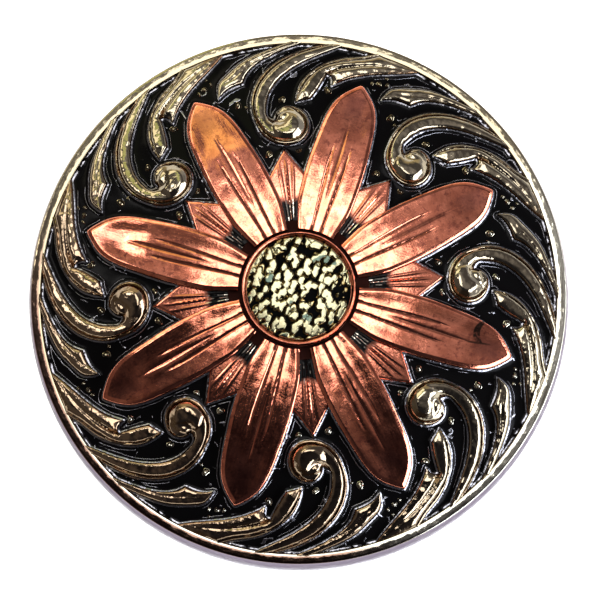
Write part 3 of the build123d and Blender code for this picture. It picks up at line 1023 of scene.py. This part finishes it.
# %% Small petals: top
def small_top(spots):
    """Bevelled sides and three fine ribs along the petal."""
    along = spots @ np.array(polar(1, small_axis))
    across = spots @ np.array(polar(1, small_axis - pi / 2))
    drop = rounded(nearest(small_edges, spots)[0], 0.14)
    spread = across / np.clip((along - 2) / 6, 0.3, 2)
    ribs = np.exp(-((spread / 0.07) ** 2)) + 0.6 * np.exp(-(((np.abs(spread) - 0.42) / 0.09) ** 2))
    ribs = ribs * eased(along, 9.7, 8.0)
    height = dome_z(np.linalg.norm(spots, axis=1)) + 0.3 - 0.8 * drop + 0.07 * ribs
    return height, {"crest": np.clip(0.8 + 0.2 * ribs - 1.5 * drop, 0, 1), "across": spread + small_rib,
                    "inner": along - 0.45 * np.abs(across)}


small = raised(small_outline, small_top, petal_foot, 0.055)
lay_round("small_petals_dressed", shaded, small, "small_petals")

# %% [markdown]
# ## The paint in the ground
#
# The black was flooded in and wiped off the high places. It stands up in a thin wall against
# every foot, which catches the light as a fine white line, and it dried a little wrinkled.

# %% Paint: the feet that stand in one share of it
def turned_by(line, angle):
    """Line turned about the middle, in radians."""
    c, s = cos(angle), sin(angle)
    return line @ np.array([[c, s], [-s, c]])


def beside(line, off):
    """The line moved sideways, to both sides."""
    ahead = np.gradient(line, axis=0)
    ahead /= np.linalg.norm(ahead, axis=1)[:, None] + 1e-9
    sideways = off * np.stack([-ahead[:, 1], ahead[:, 0]], 1)
    return [line + sideways, line - sideways]


def thinned(spots, gap):
    """Spots thinned to one in each square of that size."""
    kept = np.unique(np.round(spots / gap).astype(int), axis=0, return_index=True)[1]
    return spots[np.sort(kept)]


small_foot = np.vstack([small_edges, [polar(shoulder_r, next_axis)]])
feet = [np.vstack([line, line[:1]]) for line in (scroll_outline, fork_outline, leaf_outline, petal_outline)]
feet = [turned_by(line, -pitch * k) for line in feet + [small_foot] for k in (-1, 0, 1, 2)]
print(len(feet), "feet")

# %% Paint: one share, closer to its feet in a finer net
paint_in, paint_out = 4.96, 18.14
share_turns = np.linspace(up_axis, next_axis, 61)
seam = np.linspace(paint_in, paint_out, 90)[1:-1]
share_edge = np.vstack([
    [polar(paint_out, t) for t in share_turns],
    [polar(r, next_axis) for r in seam[::-1]],
    [polar(paint_in, t) for t in share_turns[::-1]],
    [polar(r, up_axis) for r in seam],
])
edge_loop = np.vstack([share_edge, share_edge[:1]])
grid = even_grid(share_edge, 0.22, 0.19).reshape(-1, 2)
close = np.concatenate([
    side for line in feet for off in (0.02, 0.07, 0.13, 0.2, 0.28, 0.37, 0.48) for side in beside(line, off)])
close = thinned(close[inside(share_edge, close)], 0.09)
close = close[nearest(edge_loop, close)[0] > 0.06]
grid = grid[inside(share_edge, grid)]
grid = grid[nearest(edge_loop, grid)[0] > 0.1]
spots = np.vstack([share_edge, close, grid])
spots, faces, _ = filled(spots, len(share_edge))
faces = np.array(faces)
to_feet = np.full(len(spots), 3.0)
for line in feet:
    near = (spots > line.min(0) - 1.2).all(1) & (spots < line.max(0) + 1.2).all(1)
    to_feet[near] = np.minimum(to_feet[near], nearest(line, spots[near])[0])
print("one share of the paint:", len(faces), "triangles")

# %% Paint: the shares joined into a ring, with an underside
ring_spots = np.vstack([turned_by(spots, first_turn - pi / 2 - pitch * k) for k in range(repeats)])
ring_faces = np.vstack([faces + k * len(spots) for k in range(repeats)])
_, first_seen, same = np.unique(np.round(ring_spots, 4), axis=0, return_index=True, return_inverse=True)
ring_spots, ring_faces = ring_spots[first_seen], same.reshape(-1)[ring_faces]
a, b, c = [ring_spots[ring_faces[:, k]] for k in range(3)]
turns_left = np.cross(b - a, c - a)
ring_faces = ring_faces[np.abs(turns_left) > 1e-9]
turns_left = turns_left[np.abs(turns_left) > 1e-9]
ring_faces[turns_left < 0] = ring_faces[turns_left < 0][:, ::-1]
radius = np.linalg.norm(ring_spots, axis=1)
bearing = np.arctan2(ring_spots[:, 1], ring_spots[:, 0])
wall_foot_r, foot_rise, foot_reach = 18.04, 0.16, 0.13
ring_feet = np.minimum(np.tile(to_feet, repeats)[first_seen], np.abs(wall_foot_r - radius))
skin_z = dome_z(radius) + 0.02 + foot_rise * np.exp(-ring_feet / foot_reach)
loops = []
for edge_r in (paint_in, paint_out):
    on_edge = np.where(np.abs(radius - edge_r) < 1e-3)[0]
    loops.append(on_edge[np.argsort(bearing[on_edge])])
inner_loop, outer_loop = loops
first, count = len(ring_spots), len(outer_loop)
under = [np.column_stack([ring_spots[loop], dome_z(radius[loop]) - 0.08]) for loop in loops]
points = np.vstack([np.column_stack([ring_spots, skin_z]), *under])
faces = [tuple(f) for f in ring_faces.tolist()]
for i in range(count):
    j = (i + 1) % count
    inner_a, inner_b, outer_a, outer_b = first + i, first + j, first + count + i, first + count + j
    faces.append((outer_loop[i], outer_a, outer_b, outer_loop[j]))
    faces.append((inner_loop[j], inner_b, inner_a, inner_loop[i]))
    faces.append((inner_a, inner_b, outer_b, outer_a))
skin = make_object("ground_paint", paint, points, faces, {
    "foot": np.concatenate([ring_feet, np.zeros(2 * count)])})
make_uneven(skin, paint, 0.035, 0.9, 3.0)
settle(skin, "base")

# %% [markdown]
# Small beads of metal stand in the paint between the scrolls, some with their tops rubbed
# bright. Each is a low lump with a ring round it, and the tree that copies the scrolls copies them.
# Each row of the section gives a share of the bead's radius, a height, and how bright it is.

# %% Beads in the ground
bead_rows = [
    (2.6, 13.8, 0.3), (5.5, 12.7, 0.27), (8.7, 11.8, 0.28), (2.8, 9.55, 0.28), (4.75, 8.8, 0.22),
    (12.15, 10.6, 0.2), (12.6, 10.25, 0.15), (11.75, 10.85, 0.14), (12.85, 10.7, 0.12), (3.05, 13.4, 0.14),
]
bead_section = (
    (0.3, 0.86, 1.9), (0.48, 0.6, 1.6), (0.58, 0.3, -1.0), (0.68, 0.3, -1.0), (0.78, 0.6, 1.9),
    (0.88, 0.5, 1.6), (1.0, -0.5, -1.0))
bead_sides = 18
points, faces, crest = [], [], []
for x, y, bead_r in bead_rows:
    z = float(dome_z(sqrt(x * x + y * y))) + 0.03
    first = len(points)
    points.append((x, y, z + bead_r * 0.5))
    crest.append(1.9)
    for share, rise, shine in bead_section:
        for k in range(bead_sides):
            t = 2 * pi * k / bead_sides
            out = share * bead_r * (1 + 0.16 * sin(2 * t + 7 * x) + 0.1 * sin(3 * t + 3 * y))
            up = bead_r * 0.5 * rise * (1 + 0.25 * sin(t + 5 * y)) if rise > 0 else -0.1
            points.append((x + out * cos(t), y + out * sin(t), z + up))
            crest.append(shine)
    rows = [first + 1 + row * bead_sides for row in range(len(bead_section))]
    for k in range(bead_sides):
        ahead = (k + 1) % bead_sides
        faces.append((first, first + 1 + k, first + 1 + ahead))
        faces += [(here + k, there + k, there + ahead, here + ahead) for here, there in zip(rows, rows[1:])]
    faces.append(tuple(rows[-1] + k for k in reversed(range(bead_sides))))
beads = (points, faces, {"crest": crest, "rim": np.ones(len(crest))})
lay_round("beads", nickel, beads, "base")

# %% [markdown]
# ## The eye: cup, button and hub
#
# A turned copper cup holds a hammered nickel button. Black stays in the gap round the cup and in
# the button's hollows.

# %% Hub and cup
hub_top_z = float(dome_z(seat_r)) + 0.33
hub_low_z = seat_z + 0.03
hub_section = [
    (hole_r, hub_top_z), (hole_r, hub_low_z), (seat_r, hub_low_z), (seat_r, hub_top_z), (4.0, hub_top_z)]
points, faces = lathe(hub_section, 128)
hub = make_object("hub", copper, points, faces, {"crest": np.full(len(points), -0.3)})
settle(hub, "large_petals")
cup_low, cup_floor, cup_high = hub_top_z + 0.03, hub_top_z + 0.43, hub_top_z + 1.0
cup_section = [(hole_r, cup_floor), (hole_r, cup_low), (4.0, cup_low), (3.98, cup_floor)]
lip = ((3.96, 0.25), (3.945, 0.12), (3.91, 0.04), (3.87, 0.005), (3.83, 0.01), (3.78, 0.05), (3.72, 0.12),
       (3.67, 0.2), (3.66, 0.35))
cup_section += [(r, cup_high - down) for r, down in lip] + [(3.66, cup_floor)]
points, faces = lathe(cup_section, 192)
crest = np.clip((points[:, 2] - cup_low - 0.25) / 0.5, 0, 1)
cup = make_object("cup", copper, points, faces, {"crest": crest})
settle(cup, "centre_cup")

# %% [markdown]
# The post behind isn't in the photo. It is plain brass, with a bore that a screw is turned into.

# %% Post behind
bore_r, bore_roof_z, post_r, neck_r, middle_r = 1.725, cup_floor - 1.0, 3.4, 2.45, 0.0001
post_section = [(bore_r, bore_roof_z), (bore_r, 0.32), (1.80, 0.25), (3.28, 0.25), (post_r, 0.37),
                (post_r, pad_z - 0.03), (neck_r, pad_z - 0.03), (neck_r, cup_floor), (middle_r, cup_floor),
                (middle_r, bore_roof_z)]
post = make_object("post", brass, *lathe(post_section, 96))
settle(post, "screw_post")

# %% [markdown]
# The button was struck all over with a small punch. Its lumps follow no outline either: a
# geometry tree makes them from cells that lean to one side, pushes the hollows between them down
# and stores how high each point stayed, so that the finish can leave the hollows black.

# %% Button: smooth, before it is struck
button_r = 3.62
button_low = cup_floor + 0.03
button_edge_z = button_low + 0.4
button_outline = arc((0, 0), button_r, 0, 360, 0.08)[:-1]


def button_top(spots):
    """Shallow dome with a rounded edge."""
    radius = np.minimum(np.linalg.norm(spots, axis=1), button_r)
    crown = 0.3 * (1 - (radius / button_r) ** 2)
    inset = button_r - radius
    return button_edge_z + crown - 0.6 * rounded(inset, 0.12), {"inset": inset}


def button_foot(radius):
    """Flat underside of the button."""
    return np.full(len(radius), button_low)


button = make_object("button", hammered, *raised(button_outline, button_top, button_foot, 0.045))
print("button", round(2 * button_r, 2), "mm across")

# %% Geometry Nodes: hammered lumps
hammer = Recipe("hammered_lumps", "Button", {"Depth": "Float", "Lump": "Float", "Seed": "Float"})
depth, lump, seed = [hammer.given[label] for label in ("Depth", "Lump", "Seed")]
spot = hammer.add("GeometryNodeInputPosition")
turned = hammer.add("ShaderNodeVectorRotate", {"rotation_type": "Z_AXIS"}, {
    "Vector": spot, "Angle": radians(28)})
leaning_spot = hammer.add("ShaderNodeVectorMath", {"operation": "MULTIPLY"}, {0: turned, 1: (1.0, 0.62, 1.0)})
drift = hammer.add("ShaderNodeTexNoise", {"noise_dimensions": "4D"}, {
    "Vector": spot, "W": seed, "Detail": 1.0, "Scale": 1 / lump}, "Color")
drift = hammer.add("ShaderNodeVectorMath", {"operation": "SCALE"}, {0: drift, "Scale": lump * 0.8})
drifted = hammer.add("ShaderNodeVectorMath", {"operation": "ADD"}, {0: leaning_spot, 1: drift})
cells = hammer.add("ShaderNodeTexVoronoi", {"voronoi_dimensions": "2D", "feature": "SMOOTH_F1"}, {
    "Vector": drifted, "Scale": 1 / lump, "Smoothness": 0.2, "Randomness": 1.0})
missing = hammer.add("ShaderNodeTexNoise", {"noise_dimensions": "4D"}, {
    "Vector": leaning_spot, "W": seed, "Detail": 1.5, "Scale": 0.5 / lump})
off_middle = cells + hammer.between(missing, 0.42, 0.35) * 0.4
height = hammer.between(off_middle, 0.7, 0.38)
inset = hammer.add("GeometryNodeInputNamedAttribute", {"data_type": "FLOAT"}, {"Name": "inset"})
struck = (1 - height) * hammer.between(inset, 0.02, 0.15)
hammer.end(hammer.add("GeometryNodeStoreNamedAttribute", {"data_type": "FLOAT", "domain": "POINT"}, {
    "Geometry": hammer.lifted(hammer.given["Button"], struck * depth * -1.0), "Name": "crest",
    "Value": height}))
hammer.apply(button, hammered, {"Depth": 0.2 * MM, "Lump": 0.42 * MM, "Seed": 5.0})
settle(button, "centre_button")
